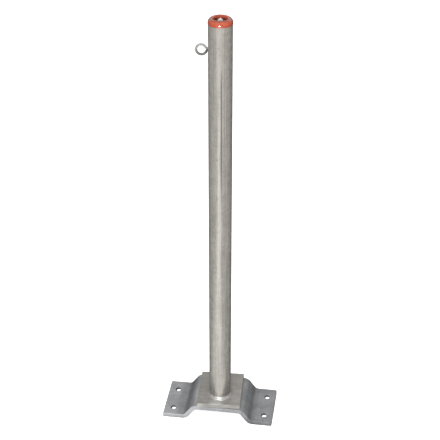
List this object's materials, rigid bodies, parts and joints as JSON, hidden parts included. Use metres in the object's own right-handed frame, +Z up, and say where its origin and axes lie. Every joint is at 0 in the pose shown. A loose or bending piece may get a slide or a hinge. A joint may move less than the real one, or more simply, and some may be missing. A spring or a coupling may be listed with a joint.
{
  "type": "removable bollard",
  "caption": "Round steel post on a bent surface-mounted base, held down by a key-operated screw inside the post, with a red plastic cap and a wire chain eye.",
  "frame": {"origin": "on the ground, under the middle of the base", "axes": "+Z up along the post, +X along the base bracket, +Y to the back; the chain eye is on the -X side"},
  "size_m": [0.247, 0.1234, 0.944],
  "materials": {
    "zinc_bracket": "dull hot-dip galvanised, blue-grey and mottled",
    "zinc_plate": "satin zinc with fine drawn lines",
    "zinc_tube": "satin zinc, warm grey, drawn along the tube",
    "weld_bead": "galvanised weld, rippled and shiny",
    "red_plastic": "moulded, slightly glossy orange-red",
    "zinc_wire": "bright zinc-plated wire",
    "bright_steel": "turned steel, lightly oiled",
    "head_steel": "zinc-plated machined steel",
    "pale_nylon": "machined nylon",
    "spring_steel": "dark spring steel"
  },
  "bodies": {
    "base": {"base_bracket": "zinc_bracket", "lock_nut": "zinc_bracket", "nut_weld": "weld_bead"},
    "post": {"foot_plate": "zinc_plate", "post_tube": "zinc_tube", "foot_weld": "weld_bead", "thrust_washer": "bright_steel", "guide_plate": "zinc_plate", "guide_bush": "pale_nylon", "cap_ring": "red_plastic", "eye_bolt": "zinc_wire", "eye_nut": "zinc_wire", "eye_washer": "spring_steel"},
    "lower_guide": {"centring_disc": "pale_nylon"},
    "spindle": {"spindle_rod": "bright_steel", "thrust_collar": "bright_steel", "collar_pin": "spring_steel", "retaining_rings": "spring_steel", "head_sleeve": "head_steel", "triangle_head": "head_steel", "head_pin": "spring_steel"}
  },
  "joints": [
    {"name": "post_lift", "type": "slide", "parent": "base", "child": "post", "axis": [0, 0, 1], "range_m": [0, 0.12]},
    {"name": "spindle_travel", "type": "slide", "parent": "post", "child": "lower_guide", "axis": [0, 0, 1], "range_m": [0, 0.016]},
    {"name": "spindle_turn", "type": "hinge", "parent": "lower_guide", "child": "spindle", "pos_m": [0.001, -0.016, 0.06], "axis": [0, 0, 1], "range_deg": [0, 2880]}
  ],
  "couplings": [
    {"joint": "spindle_turn", "follows": "spindle_travel", "rad_per_m": 3141.6}
  ]
}
